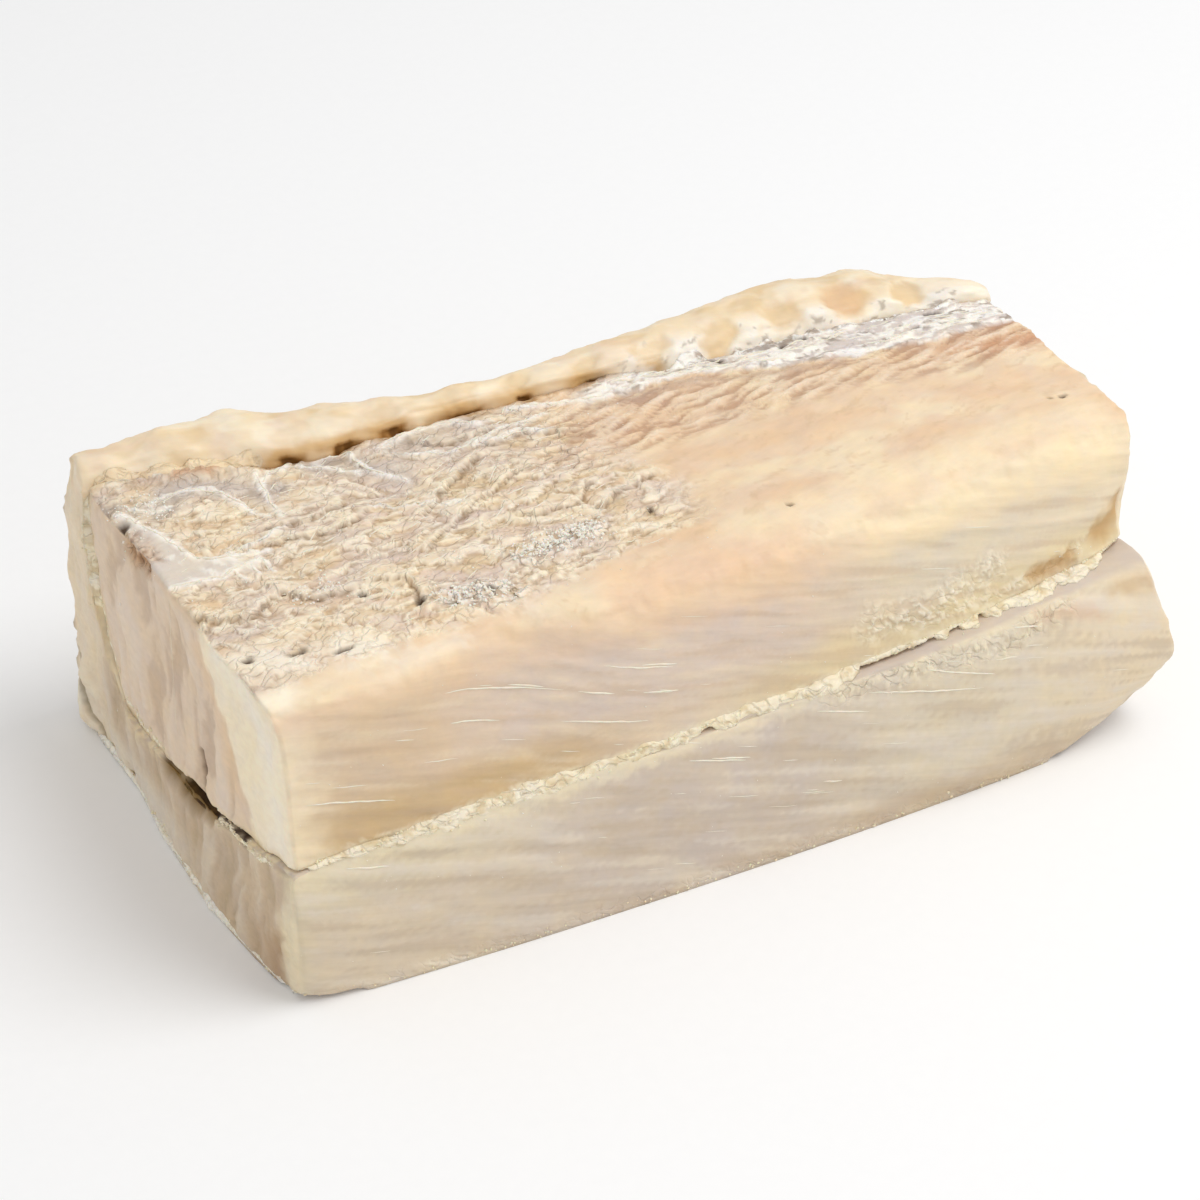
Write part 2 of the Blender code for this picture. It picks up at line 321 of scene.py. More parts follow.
end_colour = tint_and_shade(
    "cfbaa0",
    ("e3d6c2", rise(flow, 0.0, 0.5) * 0.6),
    ("b9a487", rise(-flow, 0.05, 0.55) * 0.6),
    ("e9dfcf", rise(13 - z, 0, 8) * rise(y, -25, 10) * 0.75),
    ("a8845f", rise(-y, 32, 52) * rise(20 - z, 0, 14) * 0.7),
    # A lighter strip on the left end along the rounded front corner is a painted highlight
    ("ecdfc0", rise(-y + (ragged - places)[:, 0], 49, 54) * 0.85),
    ("f0e0c6", rise(y, 36, 46) * 0.85),
    ("f2e8d2", back_flap * rise(waves(places + 9, (5, 5, 5)), -0.4, 0.2)),
)
flesh = flesh + (end_colour - flesh) * at_left[:, None]
flesh = tint_and_shade(
    flesh,
    ("e8d6b0", by_seam * rise(crumb, -0.3, 0.3) * 0.8),
    ("f1e3c6", by_seam * (1 - at_left) * rise(crumb, -0.6, 0.2) * 0.9),
    # Painted shade in the groove along the fold of the back flap
    ("8d7a5a", flap_line * 0.8),
    # The pocket in the seam: brown torn flesh deepened with painted shade, and a painted shadow, near black,
    # in its open slit
    ("86662c", pocket * 1.1),
    ("3d250c", pocket_slit_shadow * 1.1),
    ("e2d3ba", at_right),
    ("efe3cc", at_right * rise(end_waves, 0.0, 0.6) * 0.7),
    ("cfba9b", at_right * rise(-end_waves, 0.1, 0.8) * 0.6),
    ("e9dcc2", at_right * rise(y, 18, 42) * 0.6),
    ("d9cbb6", at_back),
    ("ebe0cd", at_back * rise(wide, 0.0, 0.6) * 0.8),
    ("ece2cf", at_back * rise(streaks, 0.1, 0.5) * 0.6),
    ("c6b196", at_back * rise(-streaks, 0.1, 0.5) * 0.55),
    ("cbb093", at_back * rise(14 - z + wide * 8, 0, 12) * 0.5),
    ("eedaba", on_rim),
    ("f4e8d0", on_rim * rise(blotch, 0.05, 0.5) * 0.8),
    ("dfc394", on_rim * rise(-blotch, 0.1, 0.5) * 0.65),
    ("e8cdb4", on_rim * rise(waves(places, (11, 11, 9)), 0.15, 0.5) * 0.5),
    ("f6ebd8", septa * 0.8),
    ("e3c89e", hollows * 0.85),
    ("e2bd95", hollows * rise(x, 60, 70) * rise(84 - x, 0, 8) * 0.75),
    # Painted shade under the overhanging rim: golden round each recess, brown in it and darkest at its foot
    ("d3a866", around * 0.8),
    ("b07c3a", recess * 1.3),
    ("5e3d18", rise(recess, 0.5, 0.9) * rise(67.8 - z, 0, 0.8) * 0.8),
    ("f5efe4", film * 0.9),
    ("8d7c6c", film * rise(waves(places, (2.8, 1.6, 2)), 0.3, 0.5) * 0.55),
)
store(outer, "Flesh", flesh)
rough_foot = 0.4 * in_front * rise(5 - z, 0, 4)
rough_ends = 0.12 * at_left + 0.12 * at_back + 0.08 * at_right
store(outer, "Torn", 0.1 + rough_ends + 0.6 * flap + rough_foot - 0.1 * on_rim)
store(outer, "Film", on_rim * 0.6 + film)
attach(outer, "root")
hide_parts("lower_layer")


def node(tree, kind, feeds, out=0, **settings):
    """Adds a shader node with its settings, and gives one output. Its feeds are outputs or values."""
    made = tree.nodes.new("ShaderNode" + kind)
    for key, value in settings.items():
        setattr(made, key, value)
    for socket, feed in feeds.items():
        if isinstance(feed, bpy.types.NodeSocket):
            tree.links.new(feed, made.inputs[socket])
        else:
            made.inputs[socket].default_value = feed
    return made.outputs[out]


def per_metre(*sizes):
    """A pattern's scale, which counts per metre, from the size of its grain in millimetres."""
    scales = tuple(1 / (size * MM) for size in sizes)
    return scales if len(scales) > 1 else scales[0]


# Numbered sockets: the limits of a Map Range node, and the two colours and the result of a Mix node
LOW, HIGH, TO_LOW, TO_HIGH = 1, 2, 3, 4
COLOUR_A, COLOUR_B, MIXED = 6, 7, 2

# The grain of the flesh in millimetres: along the fibres, across them and into the flesh. Single
# fibres and fine salt are too small to show, so fibres are drawn as bundles and salt as coarse grains.
FIBRE_BUNDLE = (25, 2.38, 1.43)
FLECK = (3.85, 1.25, 1.25)
FLAKE = (6.25, 2.94, 2.94)
FLAKE_BEND = 3.85
PATCH = 7.14
SALT_GRAIN = 0.77


def cured_flesh(name, on_top, gloss=1.0):
    """Salt-cured cod flesh: waxy, dry, a little see-through, fibrous, and cracked into flakes where torn."""
    material = bpy.data.materials.new(name)
    material.use_nodes = True
    tree = material.node_tree
    shader = tree.nodes["Principled BSDF"]
    where = node(tree, "TexCoord", {}, "Object")
    painted = node(tree, "VertexColor", {}, layer_name="Flesh")
    torn = node(tree, "Attribute", {}, "Fac", attribute_name="Torn")
    film = node(tree, "Attribute", {}, "Fac", attribute_name="Film")

    # Muscle fibres run at a slant over every face
    lie = (0, math.radians(-FIBRE_SLOPE), math.radians(-on_top))
    slanted = node(tree, "Mapping", {"Vector": where, "Rotation": lie})
    long = node(tree, "Mapping", {"Vector": slanted, "Scale": per_metre(*FIBRE_BUNDLE)})
    short = node(tree, "Mapping", {"Vector": slanted, "Scale": per_metre(*FLECK)})
    fibre = node(tree, "TexNoise", {"Vector": long, "Scale": 1.0, "Detail": 2.0})
    fleck = node(tree, "TexNoise", {"Vector": short, "Scale": 1.0, "Detail": 2.0})
    salt = node(tree, "TexNoise", {"Vector": where, "Scale": per_metre(SALT_GRAIN), "Detail": 1.0})
    patch = node(tree, "TexNoise", {"Vector": where, "Scale": per_metre(PATCH), "Detail": 4.0})
    lighter = node(tree, "MapRange", {"Value": fibre, LOW: 0.3, HIGH: 0.7, TO_LOW: 0.965, TO_HIGH: 1.035})
    base = node(tree, "VectorMath", {0: painted, "Scale": lighter}, operation="SCALE")
    warm = node(tree, "VectorMath", {0: base, 1: (1.03, 1.0, 0.93)}, operation="MULTIPLY")
    cool = node(tree, "VectorMath", {0: base, 1: (0.98, 0.97, 0.98)}, operation="MULTIPLY")
    share = node(tree, "MapRange", {"Value": patch, LOW: 0.35, HIGH: 0.65})
    toned = node(tree, "Mix", {0: share, COLOUR_A: warm, COLOUR_B: cool}, MIXED, data_type="RGBA")

    # Where the flesh is torn it parts into small flakes, with pale lips and hairline cracks
    bends = node(tree, "TexNoise", {"Vector": where, "Scale": per_metre(FLAKE_BEND), "Detail": 1.0}, "Color")
    bend = (6 * MM,) * 3
    bent = node(tree, "VectorMath", {0: bends, 1: bend, 2: slanted}, operation="MULTIPLY_ADD")
    laid = node(tree, "Mapping", {"Vector": bent, "Scale": per_metre(*FLAKE)})
    flake = node(tree, "TexVoronoi", {"Vector": laid, "Scale": 1.0}, feature="DISTANCE_TO_EDGE")
    loose = node(tree, "MapRange", {"Value": torn, LOW: 0.15, HIGH: 0.9})
    lip = node(tree, "MapRange", {"Value": flake, LOW: 0.22, HIGH: 0.06, TO_LOW: 0, TO_HIGH: 0.5})
    lip = node(tree, "Math", {0: lip, 1: loose}, operation="MULTIPLY")
    pale = node(tree, "VectorMath", {0: toned, 1: (1.16, 1.2, 1.26)}, operation="MULTIPLY")
    lipped = node(tree, "Mix", {0: lip, COLOUR_A: toned, COLOUR_B: pale}, MIXED, data_type="RGBA")
    crack = node(tree, "MapRange", {"Value": flake, LOW: 0.06, HIGH: 0.0, TO_LOW: 0, TO_HIGH: 0.3})
    gaps = node(tree, "MapRange", {"Value": fleck, LOW: 0.48, HIGH: 0.62})
    crack = node(tree, "Math", {0: crack, 1: gaps}, operation="MULTIPLY")
    crack = node(tree, "Math", {0: crack, 1: loose}, operation="MULTIPLY")
    dark = node(tree, "VectorMath", {0: toned, 1: (0.68, 0.58, 0.48)}, operation="MULTIPLY")
    cracked = node(tree, "Mix", {0: crack, COLOUR_A: lipped, COLOUR_B: dark}, MIXED, data_type="RGBA")

    # Fine brown flecks, and salt that bloomed as it dried
    flecks = node(tree, "MapRange", {"Value": fleck, LOW: 0.55, HIGH: 0.72, TO_LOW: 0, TO_HIGH: 0.6})
    flecks = node(tree, "Math", {0: flecks, 1: torn}, operation="MULTIPLY")
    flecked = node(tree, "Mix", {0: flecks, COLOUR_A: cracked, COLOUR_B: dark}, MIXED, data_type="RGBA")
    bloom = node(tree, "MapRange", {"Value": salt, LOW: 0.55, HIGH: 0.7, TO_LOW: 0, TO_HIGH: 0.5})
    bloom = node(tree, "Math", {0: bloom, 1: torn}, operation="MULTIPLY")
    bloomed = node(tree, "Mix", {0: bloom, COLOUR_A: flecked, COLOUR_B: pale}, MIXED, data_type="RGBA")
    tree.links.new(bloomed, shader.inputs["Base Color"])

    duller = {LOW: 0.3, HIGH: 0.7, TO_LOW: 0.5 * gloss, TO_HIGH: 0.66 * gloss}
    dull = node(tree, "MapRange", {"Value": salt, **duller})
    sheen = node(tree, "MapRange", {"Value": film, TO_LOW: 1.0, TO_HIGH: 0.66})
    rough = node(tree, "Math", {0: dull, 1: sheen}, operation="MULTIPLY")
    tree.links.new(rough, shader.inputs["Roughness"])
    ribs = node(tree, "Bump", {"Height": fibre, "Strength": 0.16, "Distance": 0.0005})
    swells = node(tree, "Bump", {"Height": patch, "Strength": 0.22, "Distance": 0.0009, "Normal": ribs})
    edge = node(tree, "MapRange", {"Value": flake, LOW: 0.0, HIGH: 0.12})
    parted = node(tree, "Bump", {"Height": edge, "Strength": loose, "Distance": 0.0005, "Normal": swells})
    tree.links.new(parted, shader.inputs["Normal"])
    shader.inputs["IOR"].default_value = 1.4
    shader.inputs["Subsurface Weight"].default_value = 0.15
    shader.inputs["Subsurface Radius"].default_value = (1.0, 0.6, 0.35)
    shader.inputs["Subsurface Scale"].default_value = 0.0016
    return material


outer.data.materials.clear()
outer.data.materials.append(cured_flesh("cured_flesh_sawn", 0))

# The slab is the thick middle of a second fillet, laid in the bend of the outer layer.
# Its top was torn off the backbone: ragged flakes at the left, a smooth waxy cut at the
# right, and the silvery lining of the belly left along the back.

# On the top: the edges of the largest torn flakes, strands with their widths, pits given as
# hollows are, dark specks in the lining, and the outline of a loose sheet of lining.
FLAKE_EDGES = (
    ((-82.3, -11.9), (-86.6, -12.7), (-92.5, -17.4), (-99.2, -16.4), (-103, -12)),
    ((-72, -18.5), (-79.8, -17.9), (-85.7, -10.5)),
    ((-60.5, -28.5), (-58.5, -24.9), (-60.2, -19.4), (-65.3, -17.8)),
    ((-20, 7), (-30.1, 2.2), (-38.2, -2.2), (-50.3, -10.3)),
    ((-27, 16), (-35.6, 11), (-46.5, 1.7)),
    ((-10, -5), (-18.4, -11.1), (-24.7, -11.6), (-29.3, -8.7)),
    ((-57, 8.5), (-66, 5), (-80, 6)),
    ((-60, 14), (-68, 11), (-78, 12)),
    ((-20, 25), (-27.9, 25.7), (-36.3, 30.6)),
    ((-7.9, 18.4), (-14.1, 20.4), (-25.4, 20.7)),
    ((3, -8), (-4, -9), (-14, -14)),
)
STRANDS = (
    (
        ((-96, 31.3), (-91.3, 33.6), (-86.9, 33.8), (-83, 31), (-80.6, 26.9), (-77.5, 20.1), (-75.6, 16.5)),
        1.5,
    ),
    (((-71, 34), (-71.5, 29.3), (-72.7, 21.2), (-72.8, 15)), 1.5),
    (((-71.5, 29.3), (-68.8, 33.2), (-60.8, 34.8)), 1.2),
    (((-62.6, 34), (-56.6, 29.9), (-51, 24)), 1.1),
    (((-58, 33), (-50.4, 33), (-50, 26.8), (-48.2, 23.3), (-43.5, 16.2)), 1.3),
    (((-43.6, 31.8), (-33.9, 33.8), (-24.8, 34), (-21.1, 29)), 1.8),
    (((-25.4, 21.7), (-14.1, 21.4), (-7.9, 19.4)), 1.2),
    (((-40, 26), (-30, 21.6), (-18, 25), (-6, 27)), 1.1),
    (((-12, 33), (-2, 29.6), (10, 27.2)), 1.4),
    (((-103.4, 31), (-98, 18), (-94.4, 7.6), (-90, 5.2), (-80, 4.4)), 1.6),
    (((-104.5, 0.6), (-98, -0.6), (-92, -0.4), (-84, 1.6), (-82.6, 2.4)), 1.5),
    (((-89.6, 0.4), (-88.4, -4.6)), 0.9),
    (((-83.2, 2), (-81.8, -4)), 0.9),
    (((-86, 0.8), (-85, -2.6)), 0.8),
    (((-92, 5.6), (-80, 8.2), (-74, 12)), 0.9),
    (((-102, 34), (-97, 29), (-92, 28)), 1.0),
    (((-55, 10), (-46, 4.5), (-38, 2)), 0.8),
)
PITS = (
    (-70.0, -21.0, 1.7, 1.1, -20),
    (-60.5, -28.6, 1.6, 2.0, 0),
    (-98.6, -30.9, 1.9, 1.1, 10),
    (-89.2, -32.7, 3.2, 1.0, 12),
    (-81.0, -36.4, 3.2, 0.8, 8),
    (-104.0, 26.2, 2.4, 2.0, 0),
    (-46.0, -31.5, 0.9, 2.0, 20),
    (21.3, -33.2, 1.1, 0.8, 0),
    (95.4, -23.2, 1.5, 0.7, 20),
    (92.2, -22.9, 0.9, 0.6, 0),
    (-4.0, -19.0, 1.6, 0.8, 40),
)
LINING_SPECKS = (
    (53.7, 27.3),
    (59.4, 28.8),
    (64.1, 25.6),
    (72.4, 23.5),
    (83, 18.4),
    (81, 27.2),
    (38, 29.4),
    (91, 24),
)
BELLY_LINING = (
    (-103.5, 31.4),
    (-98.0, 18.0),
    (-94.4, 7.5),
    (-90.0, 5.2),
    (-83.0, 2.4),
    (-83.5, -0.4),
    (-95.0, -0.8),
    (-106, 0.0),
    (-106, 12.5),
    (-105, 22.0),
)
FLAKE_TONES = ("ecd9bb", "dcc3a0", "e0cbbb", "f0dfc4", "e2c6a4")


def inside(places, corners, soft=0.7):
    """1 inside the outline on the top, 0 outside it, over a soft edge in millimetres."""
    flat = places[:, :2]
    within = np.zeros(len(flat), bool)
    best = np.full(len(flat), np.inf)
    for start, end in zip(corners, corners[1:] + corners[:1]):
        best = np.minimum(best, np.linalg.norm(off_run(flat, start, end), axis=1))
        run = np.subtract(end, start)
        crosses = (start[1] > flat[:, 1]) != (end[1] > flat[:, 1])
        reach = start[0] + (flat[:, 1] - start[1]) * run[0] / (run[1] if run[1] else 1e-9)
        within ^= crosses & (flat[:, 0] < reach)
    return rise(np.where(within, best, -best), -soft, soft)


def flake_edge(places, path, back):
    """The edge of a torn flake: 1 just behind the path, fading out further back, and 0 in front of it."""
    flat = places[:, :2]
    best = np.full(len(flat), np.inf)
    lift = np.zeros(len(flat))
    for start, end in zip(path, path[1:]):
        run = np.subtract(end, start)
        off = off_run(flat, start, end)
        away = np.linalg.norm(off, axis=1)
        side = np.sign(run[1] * off[:, 0] - run[0] * off[:, 1])
        here = rise(side * away, -0.4, 0.4) * rise(1 - away / back, 0, 1)
        lift = np.where(away < best, here, lift)
        best = np.minimum(best, away)
    return lift


def shingles(places, turn, pitch, stray):
    """Overlapping torn flakes: how near each place is to the lip of its own flake, and the flake's number."""
    level = stray - turned(places, turn)[:, 1] / pitch
    return level - np.floor(level), np.floor(level)


def slopes(part):
    """The height of a flake that rises to its lip and falls off in front of it."""
    return part * (1 - rise(part, 0.66, 1.0)) - 0.3


def slab_shows(place, normal):
    """Whether a face is on the top, on the front or on an end."""
    return normal.z > 0.35 or (normal.y < -0.3 and place.y < -30) or abs(normal.x) > 0.6


slab = dense_copy("upper_layer", "lower_layer", "slab", slab_shows)
places = vectors_of(slab, "co") / MM
facing = vectors_of(slab, "normal")
x, y, z = places.T
ragged = wandering(places, 6, 1.6)
frayed = wandering(places, 3.5, 0.9)
wobble = wandering(places, 20, 5)
on_top = rise(facing[:, 2], 0.5, 0.8)
in_front = rise(-facing[:, 1], 0.35, 0.75) * rise(-y, 30, 36)
at_left = rise(-facing[:, 0], 0.45, 0.8)
at_right = rise(facing[:, 0], 0.45, 0.8)
on_edge = 1 - rise(np.abs(facing).max(1), 0.75, 0.96)
over_seam = z - np.interp(x, SEAM_X, SEAM_Z)
behind = y - np.interp(x, CREASE_X, CREASE_Y)

front_limit = np.interp(x, (-104, -74, -48, -30, -13, 2), (-42, -40, -38, -36, -31, -28))
right_limit = np.interp(y, (-30, -15, 0, 12, 26), (4, 7, 0, -4, -6))
torn = on_top * rise(ragged[:, 1] - front_limit, -1.0, 1.6) * rise(right_limit - ragged[:, 0], -9, 9)
cream = near(ragged, ((-99, -31), (-88, -35), (-76, -37)), 8)
cream = on_top * np.clip(cream + near(ragged, ((-80, -42), (-40, -40)), 6) * 0.5, 0, 1)
streaky = on_top * rise(y - np.interp(x, (-20, 30, 60, 104), (2, 2, 0, -6)), -3, 5) * rise(x, -26, 2)
strip_low = np.interp(x, (2, 17, 30, 42, 48, 64, 81, 101), (26, 26.5, 26.5, 22.5, 19, 14.5, 12, 11.5))
strip = on_top * rise(ragged[:, 1] - strip_low, -0.8, 1.2) * rise(x, 0, 8)
sheet = on_top * inside(ragged, BELLY_LINING)
wet_patch = on_top * near(ragged, ((-89, 35), (-79, 32), (-71, 27.5)), 7)
web = near(ragged, ((-58, 33), (-50, 29), (-44, 20)), 7)
web = np.maximum(web, near(ragged, ((-40, 30), (-24, 31)), 6))
web = on_top * np.maximum(web, near(ragged, ((-104, 36), (-98, 28), (-92, 30)), 7))
strands = on_top * np.max([near(frayed, path, width) for path, width in STRANDS], 0)
beside = on_top * np.max([near(ragged, path, 4.5) for path, width in STRANDS[:9]], 0)
salted = on_top * np.maximum(
    near(ragged, ((-55, -29.5), (-49.5, -30.6), (-44, -34)), 6.5),
    near(ragged, ((-36, -23), (-27, -22.6), (-17, -19.8)), 6),
)

slanted = turned(places, in_front=FIBRE_SLOPE)
fibres = waves(slanted, (30, 6, 3.0))
large, large_number = shingles(places, 4, 9.5, waves(wobble, (19, 9, 9), 3) * 1.3)
small, small_number = shingles(places, -8, 4.8, waves(turned(ragged + 31, -6), (12, 6, 6), 2) * 1.3)
stroke = waves(turned(places * 0.65 + wobble * 0.35 + 57, 17), (11, 1.9, 5), 3)
lumps = waves(ragged, (1.5, 1.3, 1.5), 2)
wide = waves(places, (22, 12, 12), 2)
flow = waves(wobble, (30, 6.0, 26), 4)
pock = rise(waves(turned(places + 50, 15), (4.5, 2.0, 2.0)), 0.4, 0.62)
low_edge = on_top * rise(behind, -2.6, -1.2)
recess = low_edge * sum(dish(ragged, *place) for place in RECESSES)
pits = on_top * sum(dish(places + (ragged - places) * 0.3, *place) for place in PITS)
specks = on_top * sum(dish(ragged, a, b, 2.0, 1.0, -8) for a, b in LINING_SPECKS)
lifted = sum(flake_edge(ragged, path, 6.5) for path in FLAKE_EDGES) * on_top
shadow = sum(near(ragged, path, 1.3) for path in FLAKE_EDGES) * on_top * (1 - rise(lifted, 0.2, 0.6))
corner = np.maximum(
    at_left * near(ragged, ((-26, 67), (-38, 65), (-45, 58), (-47, 44), (-49, 34)), 6.5, (1, 2)),
    on_top * near(ragged, ((-101, -44), (-96, -43)), 5),
)
film_tears = near(ragged, ((33, 47), (46, 45), (64, 50)), 6.5, (0, 2))
low_tears = near(ragged, ((46, 43), (70, 44), (88, 46)), 3.5, (0, 2)) * 0.8
film_tears = in_front * np.maximum(film_tears, low_tears)
brown_patch = in_front * near(ragged, ((76, 45), (85, 44.6)), 4, (0, 2))
brown_patch = np.maximum(brown_patch, in_front * near(ragged, ((95, 47), (102, 52)), 5, (0, 2)))
end_crack = at_left * near(ragged, ((-11.4, 34), (-12.4, 30), (-12.6, 26)), 1.2, (1, 2))
end_tear = np.maximum(at_left, on_top) * near(ragged, ((22, 65), (12, 66)), 3.6, (1, 2)) * rise(-x, 99, 103)

height = waves(places, (3, 3, 3)) * 0.05 + wide * 0.35
edge_waves = waves(places, (15, 15, 15)) * 0.9 + waves(ragged, (5, 5, 5)) * 0.35
height += edge_waves * on_edge
shingled = torn * (1 - 0.8 * sheet) * (1 - 0.5 * cream)
height += (slopes(large) * 0.9 + slopes(small) * 0.35 - pock * 0.4) * shingled
height += lifted * 0.8 - shadow * 0.3
height += stroke * 0.6 * streaky * (1 - 0.7 * strip)
height += (waves(turned(places, 8), (26, 7, 6)) * 0.3) * on_top * (1 - torn)
height += rise(np.abs(lumps), 0.05, 0.5) * 0.7 * salted
height += (0.3 + waves(turned(ragged, -6), (12, 1.8, 2)) * 0.55) * strip
height += 0.4 * sheet + 0.45 * strands
height += fibres * 0.35 * in_front
height -= 0.8 * recess + 1.1 * pits + 0.8 * specks
height += rise(lumps, 0, 0.5) * 0.6 * film_tears - 1.2 * brown_patch
height += flow * 0.7 * at_left - 1.2 * end_crack - 1.2 * end_tear
height += waves(wobble, (30, 6, 9)) * 0.5 * at_right
height += 1.6 * rise(behind, -6, 0) * rise(-x, 64, 76) * on_top
raise_by(slab, height)

streaks = waves(slanted + 11, (32, 9, 3.0), 4)
blotch = waves(places + 60, (22, 12, 10), 3)
marks = rise(waves(turned(ragged + 71, 22), (7, 2.0, 3), 3), 0.3, 0.55) * on_top * (1 - torn)
flake_tone = np.mod(large_number * 3 + small_number, len(FLAKE_TONES))
tones = [(code, torn * (flake_tone == number) * 0.75) for number, code in enumerate(FLAKE_TONES)]
# The foot of each flake, just in front of the lip above it, is painted with shade
large_foot_shade = np.maximum(1 - rise(large, 0.0, 0.1), rise(large, 0.92, 0.98))
small_foot_shade = np.maximum(1 - rise(small, 0.0, 0.14), rise(small, 0.92, 0.98))
browned = np.interp(x, (-15, 60, 104), (0.8, 0.65, 0.95))
wet_gaps = rise(-waves(frayed + 5, (6, 3, 3)), 0.15, 0.5) * np.clip(web + wet_patch, 0, 1)
recess_shade_ring = low_edge * sum(dish(ragged, a, b, c + 2, d + 1.0, e) for a, b, c, d, e in RECESSES)
flesh = tint_and_shade(
    "e8ceb0",
    ("eedbbc", on_top * rise(blotch, 0.0, 0.45) * 0.9),
    ("e3c2a0", on_top * rise(-blotch, 0.1, 0.5) * 0.6),
    ("d6b893", marks * 0.4),
    # A cream band along the rounded front edge of the top is a painted highlight
    ("f3e2c3", on_top * near(ragged, ((8, -36), (40, -35), (70, -31), (98, -30)), 9) * 0.6),
)
front_colour = tint_and_shade(
    flesh,
    ("d8c1a5", rise(-x, -10, 90)),
    ("d9c9bc", rise(90 - np.abs(x + 15) * 1.6, 0, 50) * 0.9),
    ("ded1ba", rise(x, 5, 50)),
    ("e6d6ba", rise(x, 60, 105)),
    ("ccb188", rise(-x, 5, 50) * rise(13 - over_seam, 0, 8) * 0.95),
    ("dcca9f", rise(12 - over_seam, 0, 8) * rise(x, -30, 20) * 0.7),
    ("ead9be", rise(streaks, 0.1, 0.6) * 0.4),
    ("c9af93", rise(-streaks, 0.1, 0.6) * 0.38),
    # A light band on the front by the rounded left corner is a painted highlight
    ("f6e6c8", rise(-x - (ragged - places)[:, 2] * 2, 88, 103) * 0.9),
    ("f0e4c8", rise(1.8 - over_seam + lumps, 0, 1.4) * 0.6),
    ("e9c7a4", near(ragged, ((-60, 62), (-20, 61), (14, 62)), 6, (0, 2)) * 0.4),
)
flesh = flesh + (front_colour - flesh) * (in_front * rise(66 - z, 0, 7))[:, None]
flesh = tint_and_shade(
    flesh,
    ("eccbaa", near(ragged, ((-22, -41), (18, -42)), 8) * 0.7 * (1 - at_left)),
    ("f5e5c2", in_front * rise(z, 58, 66) * rise(x, 16, 50) * 0.75),
    ("f1dfc2", rise(-ragged[:, 1], 37, 43) * on_top * rise(-x, 30, 60) * 0.5),
)

flesh = tint_and_shade(
    flesh,
    ("e4ccab", torn),
    *tones,
    ("d8c5b8", torn * rise(blotch, -0.15, 0.35) * 0.75),
    # The flakes' lips are pale dried flesh brightened with a painted highlight; in front of them lies the
    # painted shadow at each flake's foot
    ("f8ecd6", shingled * rise(large, 0.5, 0.8) * (1 - rise(large, 0.86, 0.94)) * 0.85),
    ("f5e7cf", shingled * rise(small, 0.5, 0.8) * (1 - rise(small, 0.86, 0.96)) * 0.5),
    ("a98a66", shingled * large_foot_shade * 0.6),
    ("bfa482", shingled * small_foot_shade * 0.4),
    # Painted shadow under the edges of the largest flakes, and a painted highlight on their lifted lips
    ("8c6f50", shadow * 0.85),
    ("f5e8d2", rise(lifted, 0.75, 0.95) * 0.7),
    ("f6ebd8", cream * rise(wide + lumps * 0.3, -0.4, 0.2)),
    ("dfc0a0", streaky * rise(16 - y, 0, 8) * rise(y + x * 0.05, -2, 4) * 0.5),
    ("b68e72", streaky * rise(-stroke, 0.0, 0.4) * browned),
    ("cf9f7c", streaky * near(ragged, ((84, 7), (95, 4), (106, 1.5)), 6) * 0.75),
    ("f2dfc8", streaky * rise(stroke, 0.15, 0.5) * 0.7),
    ("b89a86", on_top * near(ragged, ((6, 24), (30, 23), (46, 17), (60, 12)), 3) * 0.6),
    ("cbbdb0", on_top * (wet_patch * 0.85 + web * 0.6 + beside * 0.35 * torn)),
    ("a8988a", on_top * wet_gaps * 0.7),
    ("d8cdc6", strip),
    ("fbf7f0", strip * rise(waves(turned(ragged, -6), (14, 1.8, 2)), -0.2, 0.1)),
    ("8c7a6a", strip * rise(waves(turned(frayed + 20, -6), (6, 1.7, 2)), 0.3, 0.5) * 0.75),
    ("4f4238", specks * 1.2),
    ("ddd3c8", sheet * 0.9),
    ("f4eee4", sheet * rise(waves(turned(frayed, -50), (9, 2.2, 2)), 0.0, 0.4) * 0.9),
    ("fbf5ec", strands),
    ("faf3e8", salted * rise(lumps, 0.0, 0.35)),
    # Grey between the salt lumps is painted shade
    ("a8937c", salted * rise(-lumps, 0.05, 0.4) * 0.7),
    # Painted shade under the rim's overhang: golden round the recesses and brown in them
    ("cda064", recess_shade_ring * 0.7),
    ("8f6530", recess * 0.7),
    # A thin painted shadow along the foot of the rim at the left
    ("c79a78", on_top * near(ragged, ((-88, 39), (-78, 37.4)), 1.8) * 0.8),
    # The pits are painted dark as the shade in them
    ("54402e", pits * 1.2),
    ("f6ebd4", film_tears * rise(lumps, -0.05, 0.3) * 0.85),
    ("c29c68", brown_patch * 0.85),
)

